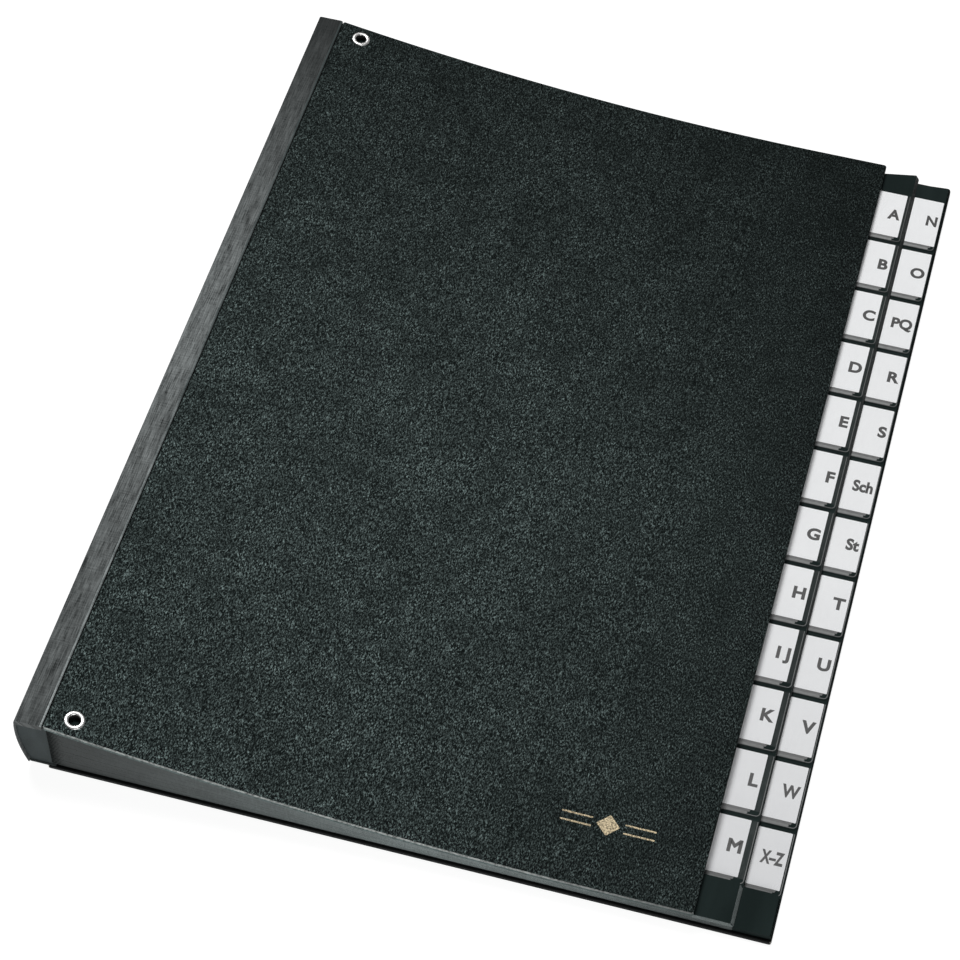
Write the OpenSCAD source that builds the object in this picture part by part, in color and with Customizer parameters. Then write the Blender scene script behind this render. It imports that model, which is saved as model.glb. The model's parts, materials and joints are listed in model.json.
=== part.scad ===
// Desk sorter file: a board-covered book of 24 tabbed divider leaves on an expanding cloth spine.
// Millimetres. It lies on its back cover on the XY plane, Z up, spine along Y on the -X side.
// X is worked out from the spine face, and the origin is moved to the middle of the whole box.

/* [Covers] */
// Length of the back cover along the spine
back_l = 340; // [320:5:360]
// Length of the front cover along the spine
front_l = 340; // [320:5:360]
// Distance from the spine face to the free edge of the front cover
front_reach = 230.6; // [229.5:0.1:232]
// Distance from the spine face to the free edge of the back cover
back_reach = 256.8; // [256.5:0.1:262]
// Distance from the spine face to the near side of the back cover
back_x0 = 9.2; // [8:0.1:9.8]
// Thickness of each finished cover
cover_t = 2; // [1.6:0.1:3]
// Thickness of the covering paper and of the lining
paper_t = 0.2; // [0.1:0.05:0.3]
// Width of the covering paper's turn-in round the inside of a cover; the eyelets' feet lie within it
turn_in = 12; // [12:1:20]
// Clearance between the front cover and the first leaf
cover_gap = 0.25; // [0.2:0.05:0.6]

/* [Spine] */
// Width of the cloth guards that the leaves are glued to
guard_w = 10; // [8:1:14]
// Thickness of one guard
guard_t = 0.6; // [0.4:0.05:0.65]
// Height of one leaf and its guard in the spine
spine_pitch = 0.92; // [0.87:0.01:1]
// Thickness of the outer spine cloth and of the joint cloth
cloth_t = 0.3; // [0.2:0.05:0.4]
// How far the foot of the spine stands in from its top
spine_lean = 2.4; // [0:0.1:4]
// How strongly the spine bulges outwards
spine_bulge = 3; // [0:0.1:4]
// Width of the groove between the spine strip and the front cover
groove_w = 0.4; // [0.3:0.1:1]

/* [Leaves] */
// Length of a leaf along the spine
leaf_l = 336.2; // [310:0.1:336.4]
// Distance from the near edge of the back cover to the leaves
leaf_inset = 1; // [0.8:0.1:3]
// Thickness of one leaf where the stack lies flat; towards the spine it grows with the stack's
leaf_t = 0.14; // [0.1:0.01:0.15]
// Height of one leaf where the stack lies flat
edge_pitch = 0.17; // [0.17:0.01:0.3]
// Length over which the leaves bend down from the spine
bend_l = 194.5; // [120:0.5:200]
// Number of straight steps in that bend
bend_steps = 6; // [4:1:10]
// Length over which a leaf comes down from its guard
ramp_l = 6; // [4:1:10]

/* [Tabs] */
// Distance from one tab to the next in the first column, and in the second
tab_pitch = [26.07, 26.17];
// Distance from the middle of the file to the far edge of the first label in each column
first_label_y = [158.1, 159.05];
// Width of a label
label_w = 11.2; // [9:0.1:11.2]
// Length of a label
label_l = 22.1; // [18:0.1:22.4]
// Thickness of a label
label_t = 0.1; // [0.05:0.01:0.12]
// Thickness of the clear film over a label
film_t = 0.06; // [0.04:0.01:0.08]
// Length of clear film below a label
film_band = 2.2; // [1:0.1:2.4]
// Radius of a tab's lower corner
tab_r = 1.5; // [1:0.1:2]
// Distance from the spine face to the tabs of the first column, and of the second
tab_x = [242.8, 255.9];
// Distance from the spine face to the notches of the first column, and of the second
notch_x = [229, 242.5];
// How much further each leaf reaches than the one above it, in each column
tab_stagger = [0.1, 0.05];
// How far the first tab's far corner stands up in each column, and how much further each tab's after it
corner_lift = [2.7, 1.1];
corner_lift_step = [0, 0.14];
// Margin between a label and the tab edge of the first leaf in each column
label_margin = [1.8, 0.7];

/* [Eyelets and foil] */
// Distance from the spine face to the eyelets
eyelet_x = 18.6; // [16:0.1:22]
// Distance from the front cover's end to an eyelet
eyelet_y = 6.2; // [5:0.1:20]
// Radius of an eyelet's hole
eyelet_r = 2.05; // [1.5:0.05:2.2]
// Radius of an eyelet's upper rim
eyelet_rim_r = 3.5; // [3.2:0.1:4.5]
// Place of the foil ornament, from the spine face and from the middle of the file
foil_at = [196.3, -145.6];
// Length and width of the foil ornament
foil_size = [32, 8];
// Thickness of the foil
foil_t = 0.04; // [0.02:0.01:0.1]

/* [Hidden] */
INDEX = ["a", "b", "c", "d", "e", "f", "g", "h", "ij", "k", "l", "m",
         "n", "o", "pq", "r", "s", "sch", "st", "t", "u", "v", "w", "xz"];
COVER_NODES = ["back_cover_wrap", "back_cover_board", "back_cover_lining", "back_joint_cloth",
               "spine_cloth", "front_strip_board", "front_strip_cloth", "front_cover_wrap",
               "front_cover_board", "front_cover_lining", "front_eyelets", "front_foil"];

leaves = len(INDEX);
rows = leaves / 2;
glue_t = 0.01;
stack_z0 = cover_t + 0.03;
far_z = stack_z0 + 60;
leaf_near_y = leaf_inset - back_l / 2;
leaf_far_y = leaf_near_y + leaf_l;

// The bend: heights of one level of the stack at each step, and between the steps a straight line
STEPS = concat([guard_w], [for (i = [1 : bend_steps]) guard_w + bend_l * i / bend_steps]);
function level(x) = edge_pitch + (spine_pitch - edge_pitch) * pow(1 - (x - guard_w) / bend_l, 2);
LEVELS = concat([for (x = STEPS) [x, level(x)]], [[2 * back_reach, edge_pitch]]);
function stack_z(n, x) = stack_z0 + n * lookup(x, LEVELS);

// A leaf lies on its guard in the spine and comes down beside it
function rise(x) = guard_t * max(0, min(1, (guard_w + ramp_l - x) / ramp_l));

// Its upper face above its level: over the guard, and from there on the same share of the level everywhere
function leaf_top(x) = x <= guard_w ? guard_t + leaf_t : leaf_t / edge_pitch * lookup(x, LEVELS);

// The spine face leans in at its foot and bulges above; u runs from its foot to its top
function spine_x(u) = spine_lean * pow(1 - u, 2) - spine_bulge * u * (1 - u);
spine_z0 = cover_t - 0.5;
strip_z0 = stack_z(leaves - 1, 0) + guard_t + leaf_t;
spine_z1 = stack_z(leaves, 0) + cover_gap + cover_t - 0.04;
SPINE = [for (i = [0 : leaves])
    [spine_x(i / leaves), spine_z0 + (spine_z1 - spine_z0) * i / leaves]];
spine_min_x = min([for (p = SPINE) p[0]]);
origin_x = -(spine_min_x + back_reach) / 2;

// Levels are counted up from the back cover, and leaves down from the front cover
function leaf_level(k) = leaves - 1 - k;

// A leaf and its guard keep 0.15 clear of the inside of the spine cloth over their whole height
function face_x(z) = spine_x((z - spine_z0) / (spine_z1 - spine_z0));
function leaf_x0(k) =
    let (z = stack_z(leaf_level(k), 0))
    cloth_t + 0.15 + max(face_x(z), face_x(z + guard_t + leaf_t));
function column(k) = k < rows ? 0 : 1;
function row(k) = k % rows;
function tab_edge(k) = tab_x[column(k)] + tab_stagger[column(k)] * row(k);
function label_far_y(k) = first_label_y[column(k)] - tab_pitch[column(k)] * row(k);
function tab_near_y(k) = label_far_y(k) - label_l - film_band - 0.4;
function label_x1(k) = tab_x[column(k)] - label_margin[column(k)];

eyelet_step = (level(STEPS[1]) - level(STEPS[0])) * leaves;
eyelet_tilt = -atan2(eyelet_step, STEPS[1] - STEPS[0]);
eyelet_depth = cover_t * cos(eyelet_tilt);

module placed() {
    translate([origin_x, 0, 0]) children();
}

// A box given by its lowest and highest corners
module block(low, high) {
    translate(low) cube(high - low);
}

// Where a sheet from x0 to x1 has to bend, with more such places if there are any
function bends(x0, x1, more = []) =
    concat([x0], [for (x = concat([guard_w], more, [for (i = [1 : bend_steps]) STEPS[i]]))
        if (x > x0 && x < x1) x], [x1]);

// A cross-section in X and Z, drawn out along Y
module lengthwise(length, under, over) {
    rotate([90, 0, 0]) linear_extrude(length, center = true)
        polygon(concat(under, [for (i = [len(over) - 1 : -1 : 0]) over[i]]));
}

// A sheet that follows the bent stack at level n, from x0 to x1, lift above that level
module bent_sheet(x0, x1, length, n, lift, t) {
    xs = bends(x0, x1);
    lengthwise(length, [for (x = xs) [x, stack_z(n, x) + lift]],
               [for (x = xs) [x, stack_z(n, x) + lift + t]]);
}

// A leaf's sheet before it is cut out
module leaf_sheet(x0, x1, n) {
    xs = bends(x0, x1, [guard_w + ramp_l]);
    lengthwise(back_l + 20, [for (x = xs) [x, stack_z(n, x) + rise(x)]],
               [for (x = xs) [x, stack_z(n, x) + leaf_top(x)]]);
}

// Lower corner of a tab, rounded with a few straight steps
function lower_corner(x, y) =
    [for (a = [-90 : 30 : 0]) [x - tab_r + tab_r * cos(a), y + tab_r + tab_r * sin(a)]];

// Outline of a leaf from above: a tab down to its own row, a notch below it, and a full foot
function leaf_outline(k) =
    let (edge = tab_edge(k), notch = notch_x[column(k)], last = rows - 1,
         foot_y = tab_near_y(column(k) * rows + last),
         corner_y = leaf_far_y + corner_lift[column(k)] + corner_lift_step[column(k)] * row(k))
    concat(
        [[leaf_x0(k), leaf_near_y], [edge, leaf_near_y]],
        row(k) == last ? [] : [[edge, foot_y], [notch, foot_y], [notch, tab_near_y(k)]],
        row(k) == last ? [] : lower_corner(edge, tab_near_y(k)),
        [[edge, corner_y], [notch, leaf_far_y], [leaf_x0(k), leaf_far_y]]);

// One divider leaf and, glued under its inner edge, the cloth guard that holds it in the spine
module leaf(k) {
    color([0.14, 0.17, 0.16]) placed() {
        intersection() {
            leaf_sheet(leaf_x0(k), tab_edge(k), leaf_level(k));
            linear_extrude(far_z) polygon(leaf_outline(k));
        }
        block([leaf_x0(k), leaf_near_y, stack_z(leaf_level(k), 0)],
              [guard_w, leaf_far_y, stack_z(leaf_level(k), 0) + guard_t - glue_t]);
    }
}

// The white index label of one leaf, and the clear film that holds it and ends in a band below it
module tab(k) {
    x1 = label_x1(k);
    x0 = x1 - label_w;
    film_x1 = tab_edge(k) - 0.3;
    y1 = label_far_y(k);
    y0 = y1 - label_l;
    z = stack_z(leaf_level(k), x0) + leaf_t;
    placed() {
        color("white") block([x0, y0, z], [x1, y1, z + label_t]);
        color([0.7, 0.72, 0.72, 0.4]) {
            difference() {
                translate([0, 0, z]) linear_extrude(label_t + film_t)
                    polygon(concat([[x0, y0 - film_band]], lower_corner(film_x1, y0 - film_band),
                                   [[film_x1, y1], [x0, y1]]));
                block([x0 - 1, y0 - glue_t, z - 1], [film_x1 + 1, y1 + 1, z + label_t + glue_t]);
            }
        }
    }
}

module back_cover_board() {
    color([0.45, 0.4, 0.33]) placed()
        block([back_x0 + paper_t, -back_l / 2 + paper_t, paper_t],
              [back_reach - paper_t, back_l / 2 - paper_t, cover_t - paper_t]);
}

module back_cover_lining() {
    color([0.1, 0.1, 0.1]) placed()
        block([back_x0 + turn_in, -back_l / 2 + turn_in, cover_t - paper_t],
              [back_reach - turn_in, back_l / 2 - turn_in, cover_t]);
}

module back_cover_wrap() {
    color([0.12, 0.14, 0.13]) difference() {
        placed() block([back_x0, -back_l / 2, 0], [back_reach, back_l / 2, cover_t]);
        back_cover_board();
        back_cover_lining();
    }
}

module back_joint_cloth() {
    color([0.2, 0.2, 0.2]) placed()
        block([spine_lean + cloth_t + 0.05, -back_l / 2, spine_z0],
              [back_x0 - 0.1, back_l / 2, cover_t]);
}

module spine_cloth() {
    inner = [for (i = [leaves : -1 : 0]) SPINE[i] + [cloth_t, 0]];
    color([0.25, 0.26, 0.26]) placed()
        rotate([90, 0, 0]) linear_extrude(front_l, center = true) polygon(concat(SPINE, inner));
}

module front_strip_board() {
    color([0.45, 0.4, 0.33]) placed()
        block([2 * cloth_t + 0.05, cloth_t - front_l / 2, strip_z0 + cloth_t],
              [guard_w - groove_w - cloth_t, front_l / 2 - cloth_t, spine_z1 - cloth_t]);
}

module front_strip_cloth() {
    color([0.25, 0.26, 0.26]) difference() {
        placed() block([cloth_t + 0.05, -front_l / 2, strip_z0],
                       [guard_w - groove_w, front_l / 2, spine_z1]);
        front_strip_board();
    }
}

// The front cover lies bent over the stack, one cover_gap above it
module front_sheet(inset, length_inset, lift, t) {
    placed() bent_sheet(guard_w + inset, front_reach - inset, front_l - 2 * length_inset,
                        leaves, cover_gap + lift, t);
}

// Runs its children at both eyelets, square to the cover, with Z = 0 on its lower face
module at_eyelets() {
    for (side = [-1, 1])
        translate([origin_x + eyelet_x, side * (front_l / 2 - eyelet_y),
                   stack_z(leaves, eyelet_x) + cover_gap])
            rotate([0, eyelet_tilt, 0]) children();
}

module eyelet_holes() {
    at_eyelets() {
        translate([0, 0, -1]) cylinder(h = cover_t + 2, r = eyelet_r + 0.4, $fn = 48);
        translate([0, 0, -1]) cylinder(h = 1.5, r = eyelet_r + 1.15, $fn = 48);
    }
}

module board_blank() {
    front_sheet(paper_t, paper_t, paper_t, cover_t - 2 * paper_t);
}

module lining_blank() {
    front_sheet(turn_in, turn_in, 0, paper_t);
}

module front_cover_board() {
    color([0.45, 0.4, 0.33]) difference() {
        board_blank();
        eyelet_holes();
    }
}

module front_cover_lining() {
    color([0.1, 0.1, 0.1]) lining_blank();
}

module front_cover_wrap() {
    color([0.12, 0.14, 0.13]) difference() {
        front_sheet(0, 0, 0, cover_t);
        board_blank();
        lining_blank();
        eyelet_holes();
    }
}

module front_eyelets() {
    barrel = eyelet_r + 0.35;
    foot = eyelet_r + 1.05;
    top = eyelet_depth;
    color("silver") at_eyelets() rotate_extrude($fn = 64) polygon([
        [eyelet_r, 0.05], [foot, 0.05], [foot, 0.45], [barrel, 0.45], [barrel, top],
        [eyelet_rim_r, top], [eyelet_rim_r, top + 0.15], [eyelet_rim_r - 0.35, top + 0.35],
        [eyelet_r + 0.25, top + 0.35], [eyelet_r, top + 0.1]]);
}

// A plain lozenge between two pairs of rules
module foil_outline() {
    half = foil_size / 2;
    rule_w = 0.6;
    lozenge = half[1];
    polygon([[-lozenge, 0], [0, -half[1]], [lozenge, 0], [0, half[1]]]);
    for (side = [-1, 1], y = [-1.6, 1.6])
        translate([side * (half[0] + lozenge + 1.5) / 2, y])
            square([half[0] - lozenge - 1.5, rule_w], center = true);
}

module front_foil() {
    color([0.85, 0.72, 0.4]) intersection() {
        front_sheet(0.5, 0.5, cover_t, foil_t);
        translate([origin_x + foil_at[0], foil_at[1], 0]) linear_extrude(far_z) foil_outline();
    }
}

back_cover_wrap();
back_cover_board();
back_cover_lining();
back_joint_cloth();
spine_cloth();
front_strip_board();
front_strip_cloth();
front_cover_wrap();
front_cover_board();
front_cover_lining();
front_eyelets();
front_foil();
for (k = [0 : leaves - 1]) {
    leaf(k);
    tab(k);
}
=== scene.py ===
"""Looks of a desk sorter file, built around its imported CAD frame.

Metres, in the part's own frame: X from the spine to the tabs, Y along the spine, Z up.
"""

import json
import math
import random

import bmesh
import bpy
from mathutils import Matrix, Vector

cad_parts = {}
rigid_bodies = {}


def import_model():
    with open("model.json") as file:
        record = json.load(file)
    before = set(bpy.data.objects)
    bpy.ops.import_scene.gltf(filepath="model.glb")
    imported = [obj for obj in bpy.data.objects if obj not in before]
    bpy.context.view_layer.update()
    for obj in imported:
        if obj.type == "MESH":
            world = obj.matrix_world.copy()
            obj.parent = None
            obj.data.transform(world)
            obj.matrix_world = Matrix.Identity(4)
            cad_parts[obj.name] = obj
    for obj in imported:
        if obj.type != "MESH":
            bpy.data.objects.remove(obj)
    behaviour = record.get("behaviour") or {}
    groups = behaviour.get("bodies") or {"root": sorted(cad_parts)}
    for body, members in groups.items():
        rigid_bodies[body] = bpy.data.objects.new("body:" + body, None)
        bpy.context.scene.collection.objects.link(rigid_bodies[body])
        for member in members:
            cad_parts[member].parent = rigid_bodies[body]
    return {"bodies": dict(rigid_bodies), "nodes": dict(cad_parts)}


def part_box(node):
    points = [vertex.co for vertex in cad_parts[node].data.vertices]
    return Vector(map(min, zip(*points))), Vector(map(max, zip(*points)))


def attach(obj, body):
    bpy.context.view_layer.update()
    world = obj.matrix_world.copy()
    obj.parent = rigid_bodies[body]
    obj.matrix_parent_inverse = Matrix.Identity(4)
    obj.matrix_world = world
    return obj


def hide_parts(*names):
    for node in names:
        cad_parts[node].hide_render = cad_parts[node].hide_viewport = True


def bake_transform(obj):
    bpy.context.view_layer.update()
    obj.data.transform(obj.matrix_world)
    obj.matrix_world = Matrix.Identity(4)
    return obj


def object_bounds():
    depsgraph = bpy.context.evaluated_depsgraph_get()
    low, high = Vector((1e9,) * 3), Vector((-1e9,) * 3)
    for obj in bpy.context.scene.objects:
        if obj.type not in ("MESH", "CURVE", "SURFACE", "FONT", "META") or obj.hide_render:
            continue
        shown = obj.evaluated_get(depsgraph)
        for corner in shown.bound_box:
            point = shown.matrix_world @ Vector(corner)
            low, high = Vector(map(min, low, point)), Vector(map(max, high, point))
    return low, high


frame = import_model()
CAD_LOW, CAD_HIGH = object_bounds()
MM = 0.001

# ---------------------------------------------------------------- the stack, read from the frame

BOX = {name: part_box(name) for name in frame["nodes"]}
LEAVES = sorted((b for b in frame["bodies"] if b.startswith("leaf_")), key=lambda b: BOX[b][0].z)
LEAF_COUNT = len(LEAVES)
ROWS = LEAF_COUNT // 2

LEAF_T = 0.14 * MM  # at the free edge
LABEL_T = 0.1 * MM
FILM_T = 0.05 * MM
CLOTH_T = 0.3 * MM
BEND_L = 194.5 * MM  # length over which the leaves bend down from the spine
RAMP_L = 6 * MM  # length over which a leaf comes down from its guard
SPINE_FILL = 0.996  # share of its pitch that a leaf fills beside the spine
SPINE_LEAN = 2.4 * MM
SPINE_BULGE = 3 * MM
CORNER_LIFT = 2.7 * MM  # of the first column's far corners above the leaves' far edge
NOTCH_BACK = (1.6 * MM, 0.3 * MM)  # from the notch to the front cover, and to the first column's tabs
TAB_FOOT = 0.4 * MM  # from a film's lower edge to its tab's

STACK_Z0 = BOX[LEAVES[0]][0].z
EDGE_PITCH = (BOX[LEAVES[-1]][0].z - STACK_Z0) / (LEAF_COUNT - 1)
SPINE_PITCH = (BOX[LEAVES[-1]][1].z - BOX[LEAVES[0]][1].z) / (LEAF_COUNT - 1)
GUARD_T = BOX[LEAVES[0]][1].z - STACK_Z0 - LEAF_T
BEND_X = BOX["front_cover_wrap"][0].x
COVER_X1 = BOX["front_cover_wrap"][1].x
COVER_HALF_L = BOX["front_cover_wrap"][1].y
COVER_GAP = BOX["front_cover_wrap"][0].z - STACK_Z0 - LEAF_COUNT * EDGE_PITCH
COVER_T = BOX["back_cover_wrap"][1].z - BOX["back_cover_wrap"][0].z
FAR_Y = BOX[LEAVES[-1]][1].y - CORNER_LIFT

FACE_X = BOX["spine_cloth"][1].x - CLOTH_T - SPINE_LEAN  # the spine face at its top
SPINE_Z0 = BOX["spine_cloth"][0].z
SPINE_Z1 = BOX["spine_cloth"][1].z


def smoothstep(t):
    t = min(1.0, max(0.0, t))
    return t * t * (3 - 2 * t)


def pitch(x):
    """Height of one leaf in the stack at x."""
    t = min(1.0, max(0.0, (x - BEND_X) / BEND_L))
    return EDGE_PITCH + (SPINE_PITCH - EDGE_PITCH) * (1 - t) ** 2


def stack_z(level, x):
    return STACK_Z0 + level * pitch(x)


def leaf_z(level, x):
    """Underside of a leaf, which lies on its guard in the spine and comes down beside it."""
    return stack_z(level, x) + GUARD_T * smoothstep((BEND_X + RAMP_L - x) / RAMP_L)


def leaf_top_z(level, x):
    """Upper face of a leaf: above its guard, and beside it almost up to the next leaf."""
    bent = max(0, (pitch(x) - EDGE_PITCH) / (SPINE_PITCH - EDGE_PITCH)) ** 0.3
    fill = LEAF_T / EDGE_PITCH * (1 - bent) + SPINE_FILL * bent
    share = smoothstep((x - BEND_X) / RAMP_L)
    return stack_z(level, x) + (GUARD_T + LEAF_T) * (1 - share) + pitch(x) * fill * share


def cover_z(x):
    """Underside of the front cover."""
    return stack_z(LEAF_COUNT, x) + COVER_GAP


def cover_slope(x):
    return (cover_z(x + MM) - cover_z(x - MM)) / (2 * MM)


def face_x(z):
    """Outside of the spine cloth: it leans in at its foot and bulges above."""
    u = min(1.0, max(0.0, (z - SPINE_Z0) / (SPINE_Z1 - SPINE_Z0)))
    return FACE_X + SPINE_LEAN * (1 - u) ** 2 - SPINE_BULGE * u * (1 - u)


# ---------------------------------------------------------------- mesh helpers

SHARP = math.radians(32)


def rounded(corners, steps=5):
    """An outline from (x, y, radius) corners, each rounded by an arc of its radius."""
    points = []
    for i, (x, y, radius) in enumerate(corners):
        here = Vector((x, y))
        before = (Vector(corners[i - 1][:2]) - here).normalized()
        after = (Vector(corners[(i + 1) % len(corners)][:2]) - here).normalized()
        if radius <= 0:
            points.append(here)
            continue
        half = before.angle(after) / 2
        middle = here + (before + after).normalized() * radius / math.sin(half)
        reach = radius / math.tan(half)
        first = here + before * reach - middle
        last = here + after * reach - middle
        turn = first.angle_signed(last)
        for s in range(steps + 1):
            angle = -turn * s / steps
            c, d = math.cos(angle), math.sin(angle)
            points.append(middle + Vector((first.x * c - first.y * d, first.x * d + first.y * c)))
    return points


def box_corners(low, high, radius):
    """Corners of a rectangle for rounded(), anticlockwise."""
    return [(low[0], low[1], radius), (high[0], low[1], radius),
            (high[0], high[1], radius), (low[0], high[1], radius)]


def layered(rings):
    """A closed solid from rings of as many points each, lowest first, with flat ends."""
    bm = bmesh.new()
    loops = [[bm.verts.new(p) for p in ring] for ring in rings]
    count = len(loops[0])
    for lower, upper in zip(loops, loops[1:]):
        for i in range(count):
            j = (i + 1) % count
            bm.faces.new((lower[i], lower[j], upper[j], upper[i]))
    bm.faces.new(loops[0][::-1])
    bm.faces.new(loops[-1])
    bmesh.ops.recalc_face_normals(bm, faces=bm.faces)
    return bm


def join_in(bm, part):
    """Adds a finished part to a mesh."""
    mesh = bpy.data.meshes.new("part")
    part.to_mesh(mesh)
    part.free()
    bm.from_mesh(mesh)
    bpy.data.meshes.remove(mesh)


def prism(outline, z0, z1):
    return layered([[(p[0], p[1], z) for p in outline] for z in (z0, z1)])


def rolled_slab(low, high, thickness, edge_r, corner_r, steps=4):
    """A board with rounded edges and corners, with its underside at Z = 0."""
    def ring(inset, z):
        corners = box_corners((low[0] + inset, low[1] + inset), (high[0] - inset, high[1] - inset),
                              max(corner_r - inset, 0.05 * MM))
        return [(p.x, p.y, z) for p in rounded(corners)]
    turns = [math.pi / 2 * s / steps for s in range(steps + 1)]
    below = [ring(edge_r * (1 - math.sin(a)), edge_r * (1 - math.cos(a))) for a in turns]
    above = [ring(edge_r * (1 - math.cos(a)), thickness - edge_r * (1 - math.sin(a))) for a in turns]
    return layered(below + above)


def lengthwise(profile, y0, y1):
    """An (x, z) profile drawn out along Y."""
    return layered([[(x, y, z) for x, z in profile] for y in (y0, y1)])


def cut_across(bm, xs):
    """Adds edges across a mesh at each x, so that it can bend there."""
    for x in xs:
        parts = bm.verts[:] + bm.edges[:] + bm.faces[:]
        bmesh.ops.bisect_plane(bm, geom=parts, plane_co=(x, 0, 0), plane_no=(1, 0, 0))


def lay(bm, height):
    """Lifts each point by height(x)."""
    for v in bm.verts:
        v.co.z += height(v.co.x)


def bend_stops(x0, x1, step=8 * MM):
    """Where a sheet from x0 to x1 needs edges across it."""
    ramp = [BEND_X + RAMP_L * s / 4 for s in range(5)]
    bend = [BEND_X + s * step for s in range(1, int(BEND_L / step) + 2)]
    return [x for x in ramp + bend if x0 + 0.1 * MM < x < x1 - 0.1 * MM]


def piece(name, bm, materials, body=None, pick=None):
    """Turns a bmesh into a named piece riding on a body. pick gives a face's material number."""
    for f in bm.faces:
        f.smooth = True
        f.material_index = pick(f) if pick else 0
    for e in bm.edges:
        e.smooth = len(e.link_faces) == 2 and e.calc_face_angle(math.pi) < SHARP
    mesh = bpy.data.meshes.new(name)
    bm.to_mesh(mesh)
    bm.free()
    for m in materials:
        mesh.materials.append(m)
    made = bpy.data.objects.new(name, mesh)
    bpy.context.scene.collection.objects.link(made)
    if body:
        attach(made, body)
    return made


def give_material(name, material):
    """Gives a CAD node that stays visible its material."""
    materials = frame["nodes"][name].data.materials
    materials.clear()
    materials.append(material)


# ---------------------------------------------------------------- materials

def node(tree, kind, inputs=None, **settings):
    """Adds a node, sets its properties, and sets or links its inputs."""
    made = tree.nodes.new(kind)
    for key, value in settings.items():
        setattr(made, key, value)
    for key, value in (inputs or {}).items():
        if isinstance(value, bpy.types.NodeSocket):
            tree.links.new(value, made.inputs[key])
        else:
            made.inputs[key].default_value = value
    return made


def grey(value, tint=(1.0, 1.0, 1.0)):
    return (value * tint[0], value * tint[1], value * tint[2], 1.0)


def new_material(name, **sockets):
    """A material with one Principled shader whose plain sockets are set here."""
    made = bpy.data.materials.new(name)
    made.use_nodes = True
    shader = made.node_tree.nodes["Principled BSDF"]
    for key, value in sockets.items():
        shader.inputs[key.replace("_", " ")].default_value = value
    return made, made.node_tree, shader


def place(tree, scale=(1, 1, 1), uv=None):
    """Where a pattern reads its place: the piece's own metres, or a map in metres."""
    if uv:
        source = node(tree, "ShaderNodeUVMap", uv_map=uv).outputs["UV"]
    else:
        source = node(tree, "ShaderNodeTexCoord").outputs["Object"]
    return node(tree, "ShaderNodeMapping", {"Vector": source, "Scale": scale}).outputs["Vector"]


def noise(tree, where, size, detail=2.0, roughness=0.5, distortion=0.0):
    """Noise with features of about that size in metres."""
    return node(tree, "ShaderNodeTexNoise", {"Vector": where, "Scale": 1 / size, "Detail": detail,
                                             "Roughness": roughness, "Distortion": distortion}).outputs["Fac"]


def remap(tree, value, low, high, to_low=0.0, to_high=1.0):
    return node(tree, "ShaderNodeMapRange", {"Value": value, "From Min": low, "From Max": high,
                                             "To Min": to_low, "To Max": to_high}).outputs["Result"]


def axis(tree, name):
    """One coordinate of the piece's own metres."""
    return node(tree, "ShaderNodeSeparateXYZ", {"Vector": place(tree)}).outputs[name]


def maths(tree, operation, a, b):
    return node(tree, "ShaderNodeMath", {0: a, 1: b}, operation=operation).outputs[0]


def blend_colours(tree, share, dark, light):
    mixed = node(tree, "ShaderNodeMix", data_type="RGBA")
    if isinstance(share, bpy.types.NodeSocket):
        tree.links.new(share, mixed.inputs[0])
    for socket, colour in ((mixed.inputs[6], dark), (mixed.inputs[7], light)):
        if isinstance(colour, bpy.types.NodeSocket):
            tree.links.new(colour, socket)
        else:
            socket.default_value = colour
    return mixed.outputs[2]


def bump(tree, shader, height, distance, strength=1.0):
    made = node(tree, "ShaderNodeBump", {"Height": height, "Distance": distance, "Strength": strength})
    tree.links.new(made.outputs["Normal"], shader.inputs["Normal"])


GREEN_BLACK = (0.72, 1.0, 0.97)
# Tint of the painted glints on the cover paper's wrinkle tops.
GLINT_TINT = (0.76, 1.0, 0.97)


def turned(tree, angle, scale):
    """The piece's own metres, turned about Z and stretched."""
    source = node(tree, "ShaderNodeTexCoord").outputs["Object"]
    return node(tree, "ShaderNodeMapping", {"Vector": source, "Rotation": (0, 0, math.radians(angle)),
                                            "Scale": scale}).outputs["Vector"]


def cover_paper():
    """Black covering paper embossed with fine wrinkles. The wrinkles' tops are painted lighter as painted
    glints, and a painted sheen makes it lighter near the spine and the near end than at the far tabs and the
    far end.
    """
    made, tree, shader = new_material("cover_paper", Specular_IOR_Level=0.07,
                                      Specular_Tint=grey(1, GREEN_BLACK))
    where = place(tree)
    first = noise(tree, turned(tree, 38, (1, 0.5, 1)), 0.44 * MM, 2, 0.6, 0.6)
    second = noise(tree, turned(tree, -42, (1, 0.55, 1)), 0.44 * MM, 2, 0.6, 0.6)
    which = remap(tree, noise(tree, where, 9 * MM, 2, 0.5), 0.42, 0.58)
    grain = blend_colours(tree, which, first, second)
    pits = noise(tree, where, 1.6 * MM, 2, 0.6)
    height = maths(tree, "ADD", grain, maths(tree, "MULTIPLY", pits, 0.5))
    bump(tree, shader, height, 0.14 * MM, 1.0)
    # The wrinkles' tops are painted lighter: painted glints where light would catch the grain.
    tops = remap(tree, grain, 0.42, 0.74)
    clouds = remap(tree, noise(tree, where, 20 * MM, 4, 0.65), 0.35, 0.65, 0.78, 1.24)
    # Painted sheen: the paper is painted lighter near the spine and the near end, and darker towards the tabs
    # and the far end.
    to_tabs = remap(tree, axis(tree, "X"), -0.01, 0.1, 1.0, 0.53)
    to_far = remap(tree, axis(tree, "Y"), -0.02, COVER_HALF_L, 1.0, 0.45)
    clouds_and_sheen = maths(tree, "MULTIPLY", clouds, maths(tree, "MULTIPLY", to_tabs, to_far))
    # Painted glints on the wrinkle tops, scaled by random clouds and the painted sheen.
    lit = maths(tree, "MULTIPLY", maths(tree, "POWER", tops, 2.0), clouds_and_sheen)
    tree.links.new(blend_colours(tree, lit, grey(0.001, GREEN_BLACK), grey(0.345, GLINT_TINT)),
                   shader.inputs["Base Color"])
    tree.links.new(remap(tree, tops, 0, 1, 0.6, 0.46), shader.inputs["Roughness"])
    return made


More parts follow.
